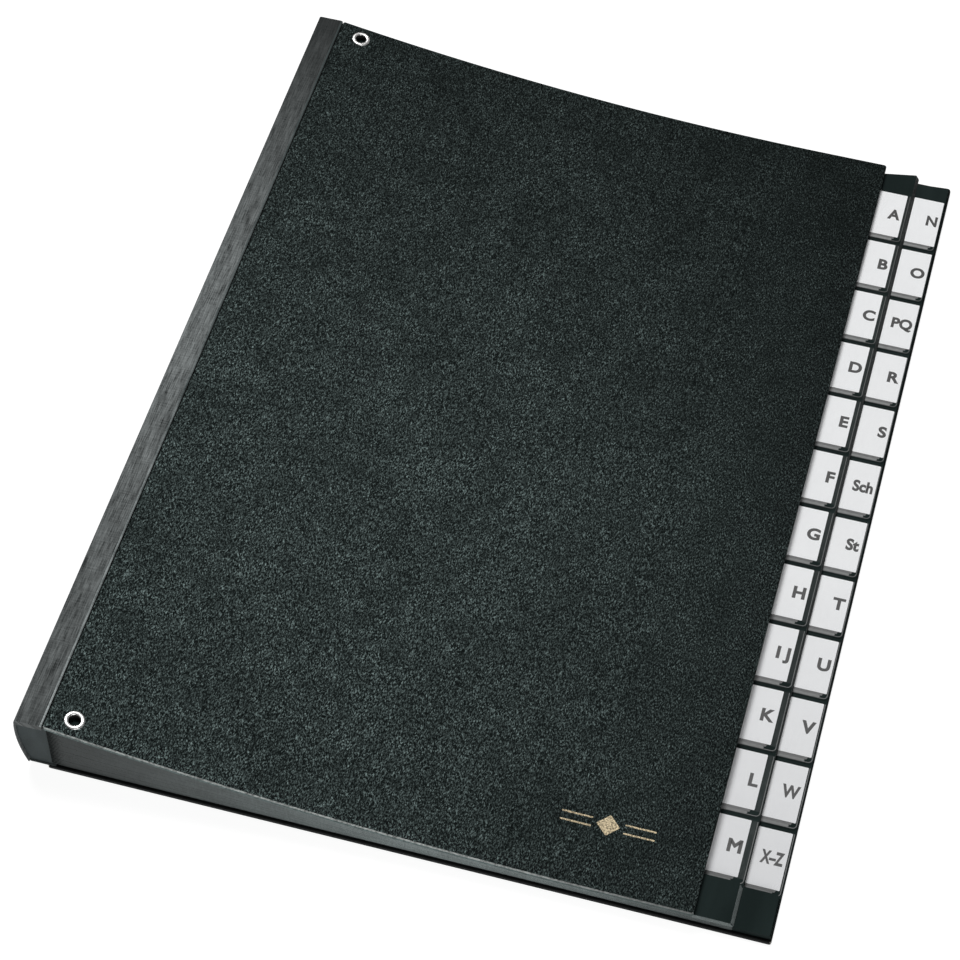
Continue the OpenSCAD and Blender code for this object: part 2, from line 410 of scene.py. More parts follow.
def edge_paper(name, dark, light, tint=GREEN_BLACK):
    """The same paper where it turns over a board's edge, lighter towards the spine than towards the tabs. Its
    dark and light tones are given per use and hold painted light or painted shade.
    """
    made, tree, shader = new_material(name, Specular_IOR_Level=0.12)
    tone_and_sheen = remap(tree, noise(tree, place(tree), 1.1 * MM, 4, 0.7), 0.36, 0.6)
    # Share of the lighter tone, in patches and falling off towards the tabs: painted light on the near edge.
    lighter_share = maths(tree, "MULTIPLY", tone_and_sheen, remap(tree, axis(tree, "X"), 0.03, 0.1, 1.0, 0.2))
    tree.links.new(blend_colours(tree, lighter_share, grey(dark, tint), grey(light, tint)),
                   shader.inputs["Base Color"])
    tree.links.new(remap(tree, tone_and_sheen, 0, 1, 0.65, 0.5), shader.inputs["Roughness"])
    bump(tree, shader, tone_and_sheen, 0.06 * MM, 0.5)
    return made


def greyboard():
    """Grey binder's board, pressed from layers of waste fibre."""
    made, tree, shader = new_material("greyboard", Roughness=0.9)
    where = place(tree, (1, 1, 6))
    fibres = noise(tree, where, 1.2 * MM, 5, 0.65, 0.8)
    flecks = remap(tree, noise(tree, place(tree), 0.5 * MM, 2), 0.6, 0.72)
    base = blend_colours(tree, fibres, grey(0.16, (1.1, 1, 0.86)), grey(0.34, (1.08, 1, 0.88)))
    tree.links.new(blend_colours(tree, flecks, base, grey(0.5)), shader.inputs["Base Color"])
    bump(tree, shader, fibres, 0.15 * MM, 0.6)
    return made


def lining_paper():
    """Plain black lining paper, smooth with a faint laid pattern."""
    made, tree, shader = new_material("lining_paper", Specular_IOR_Level=0.2)
    fibres = noise(tree, place(tree, (1, 0.3, 1)), 0.6 * MM, 4, 0.6)
    tree.links.new(blend_colours(tree, fibres, grey(0.006, GREEN_BLACK), grey(0.016, GREEN_BLACK)),
                   shader.inputs["Base Color"])
    tree.links.new(remap(tree, fibres, 0.3, 0.7, 0.8, 0.66), shader.inputs["Roughness"])
    bump(tree, shader, fibres, 0.05 * MM, 0.5)
    return made


def book_cloth(name, uv=None, dark=0.03, light=0.13, near=0.5, middle=1.0):
    """Grey book cloth, its heavier threads along the spine, with a painted sheen that changes along the spine
    and fades out at the far end. near and middle set how strong the painted sheen is there.
    """
    made, tree, shader = new_material(name, Sheen_Weight=0.1, Sheen_Roughness=0.5, Specular_IOR_Level=0.25)
    along = noise(tree, place(tree, (1, 0.05, 1), uv), 0.36 * MM, 3, 0.7)
    across = noise(tree, place(tree, (0.08, 1, 0.08), uv), 0.5 * MM, 2, 0.6)
    slubs = noise(tree, place(tree, (1, 0.15, 1), uv), 2.5 * MM, 2, 0.5)
    threads = maths(tree, "ADD", maths(tree, "MULTIPLY", along, 0.75), maths(tree, "MULTIPLY", across, 0.25))
    tone = remap(tree, maths(tree, "ADD", threads, maths(tree, "MULTIPLY", slubs, 0.35)), 0.5, 0.85)
    # Painted sheen along the spine: strengths of the lighter tone at the near end, the middle and the far
    # end.
    to_near = remap(tree, axis(tree, "Y"), -COVER_HALF_L, 0, near, middle)
    to_far = remap(tree, axis(tree, "Y"), 0.02, COVER_HALF_L, 1.0, 0.04)
    tone_and_sheen = maths(tree, "MULTIPLY", tone, maths(tree, "MULTIPLY", to_near, to_far))
    tree.links.new(blend_colours(tree, tone_and_sheen, grey(dark, (0.7, 1, 1)), grey(light, (0.92, 1, 1))),
                   shader.inputs["Base Color"])
    tree.links.new(remap(tree, tone, 0, 1, 0.85, 0.65), shader.inputs["Roughness"])
    bump(tree, shader, threads, 0.18 * MM, 0.7)
    return made


def leaf_card():
    """Smooth black card of the leaves."""
    made, tree, shader = new_material("leaf_card", Specular_IOR_Level=0.18,
                                      Specular_Tint=grey(1, (0.62, 1, 0.97)))
    fibres = noise(tree, place(tree, (1, 0.4, 1)), 0.5 * MM, 4, 0.6)
    rubs = remap(tree, noise(tree, place(tree, (1, 0.25, 1)), 14 * MM, 3, 0.6), 0.45, 0.75)
    colour = blend_colours(tree, fibres, grey(0.004, GREEN_BLACK), grey(0.01, GREEN_BLACK))
    tree.links.new(blend_colours(tree, maths(tree, "MULTIPLY", rubs, 0.3), colour, grey(0.024, GREEN_BLACK)),
                   shader.inputs["Base Color"])
    tree.links.new(remap(tree, rubs, 0, 1, 0.72, 0.62), shader.inputs["Roughness"])
    bump(tree, shader, fibres, 0.02 * MM, 0.4)
    return made


def leaf_edge(name, dark, light):
    """Cut edge of the card: greyer than its faces, finely streaked, with painted light that makes it lightest
    in the middle and darker towards the spine and the tabs.
    """
    made, tree, shader = new_material(name, Roughness=0.8, Specular_IOR_Level=0.2)
    fibres = noise(tree, place(tree, (1, 1, 0.25)), 0.7 * MM, 4, 0.65)
    patches = noise(tree, place(tree, (1, 1, 2)), 14 * MM, 2, 0.5)
    tone = maths(tree, "ADD", maths(tree, "MULTIPLY", fibres, 0.6), maths(tree, "MULTIPLY", patches, 0.4))
    # Painted light and shade along the stack: dark by the spine, lightest part way to the tabs.
    painted_light_share = maths(tree, "POWER", remap(tree, axis(tree, "X"), BEND_X, 0.07, 0.34, 0.95), 2.5)
    painted_light_share = maths(tree, "MULTIPLY", painted_light_share, remap(tree, axis(tree, "X"), 0.0, 0.1, 1.0, 0.22))
    colour = blend_colours(tree, remap(tree, tone, 0.3, 0.7), grey(dark, (0.85, 1, 0.99)),
                           grey(light, (0.85, 1, 0.99)))
    tree.links.new(blend_colours(tree, painted_light_share, grey(0.02), colour), shader.inputs["Base Color"])
    bump(tree, shader, fibres, 0.04 * MM, 0.4)
    return made


def guard_cloth():
    """Smooth, slightly blue cloth of the guards inside the spine."""
    made, tree, shader = new_material("guard_cloth", Roughness=0.8, Specular_IOR_Level=0.2)
    weave = noise(tree, place(tree, (1, 0.05, 1)), 0.4 * MM, 3, 0.6)
    folds = noise(tree, place(tree, (1, 1, 0.3)), 5 * MM, 2, 0.5)
    tone = maths(tree, "ADD", maths(tree, "MULTIPLY", weave, 0.4), maths(tree, "MULTIPLY", folds, 0.6))
    tree.links.new(blend_colours(tree, remap(tree, tone, 0.3, 0.7), grey(0.032, (0.8, 1, 1.02)),
                                 grey(0.064, (0.8, 1, 1.02))), shader.inputs["Base Color"])
    bump(tree, shader, weave, 0.05 * MM, 0.4)
    return made


def label_paper():
    """White index paper, a little greyer on the near tabs."""
    made, tree, shader = new_material("label_paper", Roughness=0.6, Specular_IOR_Level=0.2)
    fibres = noise(tree, place(tree), 0.4 * MM, 4, 0.6)
    clouds = noise(tree, place(tree), 6 * MM, 2, 0.5)
    tone = maths(tree, "ADD", maths(tree, "MULTIPLY", fibres, 0.12), maths(tree, "MULTIPLY", clouds, 0.18))
    to_far_labels = remap(tree, axis(tree, "Y"), -0.16, -0.02, 0.0, 0.75)
    tree.links.new(blend_colours(tree, maths(tree, "ADD", tone, to_far_labels), grey(0.73, (0.99, 1, 1.02)),
                                 grey(0.96, (0.99, 1, 1.01))), shader.inputs["Base Color"])
    bump(tree, shader, fibres, 0.01 * MM, 0.5)
    return made


def clear_film():
    """Clear film over a label, with faint scuffs."""
    made, tree, shader = new_material("clear_film", Roughness=0.18, IOR=1.49)
    shader.inputs["Base Color"].default_value = grey(0.8)
    scuffs = noise(tree, place(tree, (1, 0.2, 1)), 0.8 * MM, 3, 0.7)
    tree.links.new(remap(tree, scuffs, 0.45, 0.8, 0.012, 0.03), shader.inputs["Alpha"])
    return made


def frosted_film(name, dark, light, near, far):
    """Pressed film, whose milkiness changes evenly from the near tabs to the far ones."""
    made, tree, shader = new_material(name, Roughness=0.45, Specular_IOR_Level=0.25)
    grain = noise(tree, place(tree, (0.3, 1, 1)), 0.5 * MM, 3, 0.7)
    share = remap(tree, axis(tree, "Y"), -COVER_HALF_L, COVER_HALF_L, near, far)
    milk = maths(tree, "MULTIPLY", remap(tree, grain, 0.3, 0.7, 0.5, 1.0), share)
    tree.links.new(blend_colours(tree, milk, grey(dark, (0.98, 1, 1)), grey(light, (0.98, 1, 1))),
                   shader.inputs["Base Color"])
    bump(tree, shader, grain, 0.04 * MM, 0.5)
    return made


def printed_ink():
    """Dark grey printing ink."""
    made, tree, shader = new_material("printed_ink", Roughness=0.5)
    speckle = noise(tree, place(tree), 0.15 * MM, 2, 0.6)
    tree.links.new(blend_colours(tree, speckle, grey(0.02), grey(0.045)), shader.inputs["Base Color"])
    return made


def nickel(name, tone, rough):
    """Nickel-plated brass, with fine turning marks and fingerprints."""
    made, tree, shader = new_material(name, Metallic=0.85)
    marks = noise(tree, place(tree), 0.25 * MM, 3, 0.6)
    tree.links.new(blend_colours(tree, marks, grey(tone * 0.85), grey(tone, (1.0, 0.99, 0.97))),
                   shader.inputs["Base Color"])
    tree.links.new(remap(tree, marks, 0.3, 0.7, rough, rough * 1.6), shader.inputs["Roughness"])
    bump(tree, shader, marks, 0.01 * MM, 0.4)
    return made


def gold_foil():
    """Hot-stamped gold foil that takes on the grain beneath it and breaks up in places."""
    made, tree, shader = new_material("gold_foil", Metallic=0.55, Specular_IOR_Level=0.3)
    grain = noise(tree, place(tree), 0.5 * MM, 4, 0.7)
    gaps = remap(tree, grain, 0.38, 0.56)
    tree.links.new(blend_colours(tree, gaps, grey(0.1, (1, 0.84, 0.58)), grey(0.68, (1, 0.84, 0.56))),
                   shader.inputs["Base Color"])
    tree.links.new(remap(tree, grain, 0.3, 0.7, 0.75, 0.55), shader.inputs["Roughness"])
    bump(tree, shader, grain, 0.1 * MM, 0.7)
    return made


CLOTH_UV = "cloth_metres"
PAPER = cover_paper()
# Grey of the front cover's near edge face and far rounding: on the near face it is painted reflection of the
# front light.
FACE_EDGE = edge_paper("cover_paper_edge", 0.06, 0.14)
# Painted highlight along the front cover's near rounded edge.
RIDGE_HIGHLIGHT = edge_paper("cover_paper_ridge_highlight", 0.12, 0.48, (0.94, 1.0, 0.98))
# Painted shade: the back cover's paper, painted nearly black where it stands under the stack.
SHADED_FOOT_EDGE = edge_paper("cover_paper_shaded_foot", 0.001, 0.004)
BOARD = greyboard()
LINING = lining_paper()
CLOTH = book_cloth("book_cloth")
SPINE_CLOTH = book_cloth("spine_book_cloth", CLOTH_UV, 0.009, 0.285)
# Painted highlight on the strip's rounded edge, brightest at the near end.
STRIP_EDGE_HIGHLIGHT = book_cloth("book_cloth_edge_highlight", CLOTH_UV, 0.05, 0.55, 1.1, 0.3)
# Painted shade: the cloth down in the groove beside the strip is painted nearly black.
SHADED_GROOVE_CLOTH = book_cloth("groove_book_cloth_shaded", CLOTH_UV, 0.004, 0.012)
CARD = leaf_card()
CARD_EDGE = leaf_edge("leaf_edge", 0.31, 0.53)
TAB_EDGE = leaf_edge("tab_edge", 0.06, 0.2)
# Painted light: the foot's cut edges are painted much lighter than the other edges.
LIT_FOOT_EDGE = leaf_edge("foot_edge_painted_light", 0.55, 0.95)
GUARD = guard_cloth()
LABEL = label_paper()
FILM = clear_film()
FOLD = frosted_film("film_fold", 0.07, 0.2, 0.7, 1.0)
SEAM = frosted_film("film_seam", 0.1, 0.32, 0.45, 1.0)
RIM = frosted_film("film_rim", 0.03, 0.2, 1.0, 0.4)
INK = printed_ink()
NICKEL = nickel("nickel", 0.9, 0.24)
# Painted shade: the metal down in the eyelets' holes is painted nearly black.
HOLE_SHADE_METAL = nickel("hole_metal_painted_shade", 0.06, 0.5)
FOIL = gold_foil()


# ---------------------------------------------------------------- camera, light and floor

def make_camera():
    """Looks down on the file from its near side, a little from the tabs' side, and slightly rolled."""
    azimuth, elevation, roll = math.radians(13.91), math.radians(53.38), math.radians(1.48)
    distance = 3.0474 * (CAD_HIGH.y - CAD_LOW.y)
    aim = (CAD_LOW + CAD_HIGH) / 2
    aim = Vector((aim.x - 2.4 * MM, aim.y - 21.3 * MM, 12 * MM))
    away = Vector((-math.sin(azimuth) * math.cos(elevation), math.cos(azimuth) * math.cos(elevation),
                   -math.sin(elevation)))
    level = Vector((math.cos(azimuth), math.sin(azimuth), 0))
    right = level * math.cos(roll) + level.cross(away) * math.sin(roll)
    up = right.cross(away)
    data = bpy.data.cameras.new("camera")
    data.lens = 109.16
    data.sensor_width = 36
    data.shift_x = -0.0206
    camera = bpy.data.objects.new("camera", data)
    bpy.context.scene.collection.objects.link(camera)
    camera.matrix_world = Matrix((right, up, -away)).transposed().to_4x4()
    camera.location = aim - away * distance
    bpy.context.scene.camera = camera


def make_light(name, position, target, size, power, colour=(1, 1, 1)):
    data = bpy.data.lights.new(name, "AREA")
    data.shape = "RECTANGLE"
    data.size, data.size_y = size
    data.energy = power
    data.color = colour
    light = bpy.data.objects.new(name, data)
    bpy.context.scene.collection.objects.link(light)
    light.location = position
    light.rotation_euler = (Vector(target) - Vector(position)).to_track_quat("-Z", "Y").to_euler()


def make_studio():
    make_light("soft_key", (-0.5, 0.75, 1.6), (0, 0, 0), (0.9, 0.9), 26)
    make_light("soft_front", (0.9, -1.3, 0.7), (0, 0, 0), (0.9, 0.7), 12)
    world = bpy.data.worlds.new("studio")
    world.use_nodes = True
    world.node_tree.nodes["Background"].inputs["Color"].default_value = (1, 1, 1, 1)
    world.node_tree.nodes["Background"].inputs["Strength"].default_value = 0.08
    bpy.context.scene.world = world
    floor_z = CAD_LOW.z - 0.1 * MM
    bm = bmesh.new()
    bmesh.ops.create_grid(bm, x_segments=1, y_segments=1, size=6)
    lay(bm, lambda x: floor_z)
    white, _, _ = new_material("floor", Base_Color=grey(0.28), Roughness=0.9, Specular_IOR_Level=0.1,
                               Emission_Color=grey(1.0), Emission_Strength=0.89)
    piece("floor", bm, [white])
    bpy.context.scene.view_settings.view_transform = "Standard"


make_camera()
make_studio()


# ---------------------------------------------------------------- covers

EDGE_R = 0.55 * MM
CORNER_R = 0.9 * MM
EYELET_RIM_R = 3.5 * MM
EYELET_R = 2.05 * MM


def near_edge(f):
    """The near edge is grey with painted reflection, and has a painted highlight where it rounds onto the
    cover; the far rounding is grey too.
    """
    if f.normal.y > 0.3 and f.normal.z > 0.3:
        return 1
    if f.normal.y > -0.2:
        return 0
    return 2 if f.normal.z > 0.1 else 1


def make_back_cover():
    low, high = BOX["back_cover_wrap"]
    bm = rolled_slab(low, high, COVER_T - 0.04 * MM, EDGE_R, CORNER_R)
    # Everything except the back cover's underside gets the nearly black paper, as painted shade.
    wrap = piece("back_cover_paper", bm, [PAPER, SHADED_FOOT_EDGE], "root",
                 lambda f: 0 if f.normal.z < -0.8 else 1)
    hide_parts("back_cover_wrap")
    low, high = BOX["back_cover_lining"]
    bm = rolled_slab(low, high, 0.12 * MM, 0.04 * MM, CORNER_R)
    lay(bm, lambda x: COVER_T - 0.11 * MM)
    lining = piece("back_cover_lining_paper", bm, [LINING], "root")
    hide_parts("back_cover_lining")
    give_material("back_cover_board", BOARD)


def eyelet_places():
    """Matrices that put a part, made with Z = 0 on the cover's upper face, at both eyelets."""
    low, high = BOX["front_eyelets"]
    x = (low.x + high.x) / 2
    tilt = Matrix.Rotation(-math.atan(cover_slope(x)), 4, "Y")
    for y in (low.y + EYELET_RIM_R, high.y - EYELET_RIM_R):
        yield Matrix.Translation((x, y, cover_z(x) + COVER_T)) @ tilt


def punched(bm):
    """Cuts the eyelets' holes right through a bent sheet, wider underneath for their flanges."""
    mesh = bpy.data.meshes.new("punch_target")
    bm.to_mesh(mesh)
    bm.free()
    target = bpy.data.objects.new("punch_target", mesh)
    wide, narrow, step_z = EYELET_R + 1.15 * MM, EYELET_R + 0.4 * MM, 0.55 * MM - COVER_T
    steps = [(wide, -3 * COVER_T), (wide, step_z), (narrow, step_z), (narrow, 2 * COVER_T)]
    turns = [2 * math.pi * s / 40 for s in range(40)]
    tool_bm = bmesh.new()
    for where in eyelet_places():
        rings = [[where @ Vector((r * math.cos(a), r * math.sin(a), z)) for a in turns] for r, z in steps]
        join_in(tool_bm, layered(rings))
    tool_mesh = bpy.data.meshes.new("punch")
    tool_bm.to_mesh(tool_mesh)
    tool_bm.free()
    tool = bpy.data.objects.new("punch", tool_mesh)
    for o in (target, tool):
        bpy.context.scene.collection.objects.link(o)
    cut = target.modifiers.new("punch", "BOOLEAN")
    cut.operation, cut.object, cut.solver = "DIFFERENCE", tool, "EXACT"
    graph = bpy.context.evaluated_depsgraph_get()
    result = bmesh.new()
    result.from_mesh(target.evaluated_get(graph).to_mesh())
    for o in (target, tool):
        bpy.data.objects.remove(o)
    return result


def bent_slab(low, high, thickness, edge_r, lift):
    """A sheet of the front cover: laid over the stack, lift above the cover's underside."""
    bm = rolled_slab(low, high, thickness, edge_r, CORNER_R)
    cut_across(bm, bend_stops(low.x, high.x))
    lay(bm, lambda x: cover_z(x) + lift)
    return punched(bm)


def make_front_cover():
    low, high = BOX["front_cover_wrap"]
    bm = bent_slab(low, high, COVER_T, EDGE_R, 0)
    wrap = piece("front_cover_paper", bm, [PAPER, FACE_EDGE, RIDGE_HIGHLIGHT], "front_cover", near_edge)
    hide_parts("front_cover_wrap")
    low, high = BOX["front_cover_lining"]
    bm = bent_slab(low, high, 0.12 * MM, 0.04 * MM, -0.05 * MM)
    lining = piece("front_cover_lining_paper", bm, [LINING], "front_cover")
    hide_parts("front_cover_lining")
    low, high = BOX["front_cover_board"]
    bm = bent_slab(low, high, COVER_T - 0.4 * MM, 0.1 * MM, 0.2 * MM)
    board = piece("front_cover_greyboard", bm, [BOARD], "front_cover")
    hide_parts("front_cover_board")


def make_eyelets():
    """Hollow rivets: a rolled rim on top, a barrel, and a flange turned out underneath."""
    rim_h = 0.42 * MM
    rim_mid = (EYELET_RIM_R + EYELET_R) / 2
    rim_half = (EYELET_RIM_R - EYELET_R) / 2
    arc = [math.pi * s / 10 for s in range(11)]
    rim = [(rim_mid + rim_half * math.cos(a), rim_h * math.sin(a) ** 0.8) for a in arc]
    foot = -COVER_T + 0.05 * MM
    flange_mm = ((0, 0.5), (0.1, 0.12), (0.3, 0), (1, 0), (1.05, 0.15), (0.95, 0.3), (0.35, 0.35))
    flange = [(EYELET_R + out * MM, foot + up * MM) for out, up in flange_mm]
    shank = [(EYELET_R + 0.35 * MM, -0.1 * MM), (EYELET_RIM_R - 0.1 * MM, -0.05 * MM)]
    profile = rim + flange + shank
    bm = bmesh.new()
    segments = 56
    for where in eyelet_places():
        rings = []
        for s in range(segments):
            turn = 2 * math.pi * s / segments
            rings.append([bm.verts.new(where @ Vector((r * math.cos(turn), r * math.sin(turn), z)))
                          for r, z in profile])
        for s in range(segments):
            a, b = rings[s], rings[(s + 1) % segments]
            for i in range(len(profile)):
                j = (i + 1) % len(profile)
                bm.faces.new((a[i], b[i], b[j], a[j]))
    bmesh.ops.recalc_face_normals(bm, faces=bm.faces)
    inverses = [where.inverted() for where in eyelet_places()]

    def inside(f):
        """1 for the faces down in the hole, which are painted dark as painted shade."""
        local = min((m @ f.calc_center_median() for m in inverses), key=lambda p: p.length)
        return 1 if local.z < -0.2 * MM and local.xy.length < EYELET_R + 0.1 * MM else 0
    rings = piece("front_eyelet_rings", bm, [NICKEL, HOLE_SHADE_METAL], "front_cover", inside)
    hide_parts("front_eyelets")


def make_foil():
    """A plain lozenge between two pairs of rules, pressed onto the cover."""
    low, high = BOX["front_foil"]
    middle = (low + high) / 2
    half_l, half_w = (high.x - low.x) / 2, (high.y - low.y) / 2
    lozenge = [(middle.x - half_w, middle.y, 0.3 * MM), (middle.x, low.y, 0.3 * MM),
               (middle.x + half_w, middle.y, 0.3 * MM), (middle.x, high.y, 0.3 * MM)]
    outlines = [rounded(lozenge)]
    for side in (-1, 1):
        for y in (-1.6 * MM, 1.6 * MM):
            near, far = sorted((middle.x + side * (half_w + 1.5 * MM), middle.x + side * half_l))
            corners = box_corners((near, middle.y + y - 0.3 * MM), (far, middle.y + y + 0.3 * MM), 0.15 * MM)
            outlines.append(rounded(corners))
    bm = bmesh.new()
    for outline in outlines:
        join_in(bm, prism(outline, 0, 0.03 * MM))
    cut_across(bm, bend_stops(low.x, high.x, 2 * MM))
    lay(bm, lambda x: cover_z(x) + COVER_T - 0.005 * MM)
    foil = piece("front_foil_mark", bm, [FOIL], "front_cover")
    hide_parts("front_foil")


make_back_cover()
make_front_cover()
make_eyelets()
make_foil()


# ---------------------------------------------------------------- leaves and tabs

# What a label says where that isn't its leaf's own letter, and how wide its letters are set.
LETTERS = {"ij": "I J", "pq": "PQ", "sch": "Sch", "st": "St", "xz": "X\u2013Z"}
NARROW_LETTERS = {"X\u2013Z": 0.57, "Sch": 0.8, "St": 0.85, "PQ": 0.9, "W": 0.78, "A": 0.9,
                  "N": 0.86}
LETTER_BOLD = 0.042  # added round each stroke, of the typeface's size
INK_T = 0.012 * MM
LABEL_W = 11.5 * MM
LABEL_L = 22.1 * MM
LABEL_EXTRA_L = 1.2 * MM  # of the second column's first label
FOLD_L = 1.05 * MM  # of the film's fold, below a label
SEAM_STOP = 2.1 * MM  # from the end of the film's seam to the label's right edge
RIM_W = 0.28 * MM  # of the film's pressed edge
TAB_CHAMFER = 0.09 * MM  # of the first column's outer edge
CARD_JITTER = (0.05 * MM, 0.09 * MM)  # how far the cards' near edges stand back, each a little differently
TAB_R = 1.5 * MM
CAP_H = 4.9 * MM
LETTER_MARGIN = 0.95 * MM
LETTER_Y = (10.7 * MM, 10.5 * MM)  # from a label's far edge to its letters' middle, in each column


def column_of(level):
    return 0 if level >= ROWS else 1


def make_leaf(level):
    """A leaf: a tab down to its own row, a notch below it, and a full foot."""
    name = LEAVES[level]
    low, high = BOX[name]
    column = column_of(level)
    row = ROWS - 1 - level % ROWS
    key = name.removeprefix("leaf_")
    first_tabs_x = BOX[LEAVES[-1]][1].x
    notch = (COVER_X1, first_tabs_x)[column] - NOTCH_BACK[column]
    foot_y = BOX["tab_m"][0].y - TAB_FOOT
    tab_y = BOX["tab_" + key][0].y - TAB_FOOT
    near = low.y + random.Random(level + 11).uniform(*CARD_JITTER)
    corners = [(low.x, near, 0), (high.x, near, 0.6 * MM)]
    if row < ROWS - 1:
        corners += [(high.x, foot_y, 1 * MM), (notch, foot_y, 0.4 * MM),
                    (notch, tab_y, 0.4 * MM), (high.x, tab_y, 1.5 * MM)]
    corners += [(high.x, high.y, 0.3 * MM), (notch, FAR_Y, 1.5 * MM), (low.x, FAR_Y, 0)]
    bm = prism(rounded(corners, 4), 0, LEAF_T)
    cut_across(bm, bend_stops(low.x, high.x) + [notch + MM, first_tabs_x + MM])
    for v in bm.verts:
        if column == 0 and v.co.x > high.x - 0.01 * MM and v.co.z > LEAF_T / 2:
            v.co.x -= TAB_CHAMFER
        v.co.z = leaf_top_z(level, v.co.x) if v.co.z > LEAF_T / 2 else leaf_z(level, v.co.x)

    def edge_kind(f):
        """The cut edges are grey; those of the tabs are darker, those of the foot beyond the notch are
        painted much lighter as painted light, and the second column's foot is black.
        """
        middle = f.calc_center_median()
        if abs(f.normal.z) > 0.95 or (column == 1 and middle.x > first_tabs_x):
            return 0
        if middle.x > notch and middle.y > foot_y:
            return 2
        return 3 if middle.x > notch else 1
    materials = [CARD, CARD_EDGE, TAB_EDGE, LIT_FOOT_EDGE]
    leaf = piece("leaf_card_" + key, bm, materials, name, edge_kind)
    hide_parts(name)


def make_guard(level):
    """The cloth guard that is folded round a leaf's inner edge, its fold towards the spine."""
    name = LEAVES[level]
    low = BOX[name][0]
    z0 = stack_z(level, BEND_X) + 0.01 * MM
    z1 = z0 + SPINE_PITCH - 0.04 * MM
    radius = (z1 - z0) / 2 - 0.01 * MM
    profile = rounded([(low.x, z0, radius), (BEND_X + 0.5 * MM, z0, 0.08 * MM),
                       (BEND_X + 0.5 * MM, z1, 0.08 * MM), (low.x, z1, radius)])
    bm = lengthwise([(p.x, p.y) for p in profile], low.y, FAR_Y)
    piece("guard_" + name.removeprefix("leaf_"), bm, [GUARD], name)


def thickened(bm, by):
    """Moves the outline of flat letters outwards, which makes thin strokes bolder."""
    moves = {}
    for v in bm.verts:
        sides = [e for e in v.link_edges if e.is_boundary]
        if len(sides) != 2:
            continue
        outward = []
        for e in sides:
            along = e.verts[1].co - e.verts[0].co
            across = Vector((along.y, -along.x, 0)).normalized()
            inside = e.link_faces[0].calc_center_median() - e.verts[0].co
            outward.append(-across if across.dot(inside) > 0 else across)
        spread = max(1 + outward[0].dot(outward[1]), 0.35)
        moves[v] = (outward[0] + outward[1]) * by / spread
    for v, move in moves.items():
        v.co += move


def square_up(bm, tall):
    """Stands a letter's splayed legs upright."""
    top = [v.co.x for v in bm.verts if v.co.y > 0.95 * tall]
    foot = [v.co.x for v in bm.verts if v.co.y < 0.05 * tall]
    middle = (min(foot) + max(foot)) / 2
    top_w, foot_w = max(top) - min(top), max(foot) - min(foot)
    for v in bm.verts:
        width = foot_w + (top_w - foot_w) * v.co.y / tall
        v.co.x = middle + (v.co.x - middle) * foot_w / width


def letters_mesh(text, right_x, middle_y, z):
    """Printed letters, right-aligned, as flat as ink."""
    curve = bpy.data.curves.new("letters", "FONT")
    curve.body = text
    curve.resolution_u = 5
    holder = bpy.data.objects.new("letters", curve)
    bpy.context.scene.collection.objects.link(holder)
    graph = bpy.context.evaluated_depsgraph_get()
    flat = holder.evaluated_get(graph).to_mesh()
    bm = bmesh.new()
    bm.from_mesh(flat)
    bpy.data.objects.remove(holder)
    bmesh.ops.remove_doubles(bm, verts=bm.verts, dist=1e-5)
    thickened(bm, LETTER_BOLD)
    tall = max(v.co.y for v in bm.verts)
    if text == "M":
        square_up(bm, tall)
    right = max(v.co.x for v in bm.verts)
    scale = CAP_H / tall
    narrow = NARROW_LETTERS.get(text, 1.0)
    for v in bm.verts:
        x, y = (v.co.x - right) * scale * narrow, (v.co.y - tall / 2) * scale
        v.co = Vector((right_x + x, middle_y + y, z))
    faces = bmesh.ops.extrude_face_region(bm, geom=bm.faces[:])["geom"]
    bmesh.ops.translate(bm, vec=(0, 0, INK_T), verts=[g for g in faces if isinstance(g, bmesh.types.BMVert)])
    bmesh.ops.recalc_face_normals(bm, faces=bm.faces)
    return bm


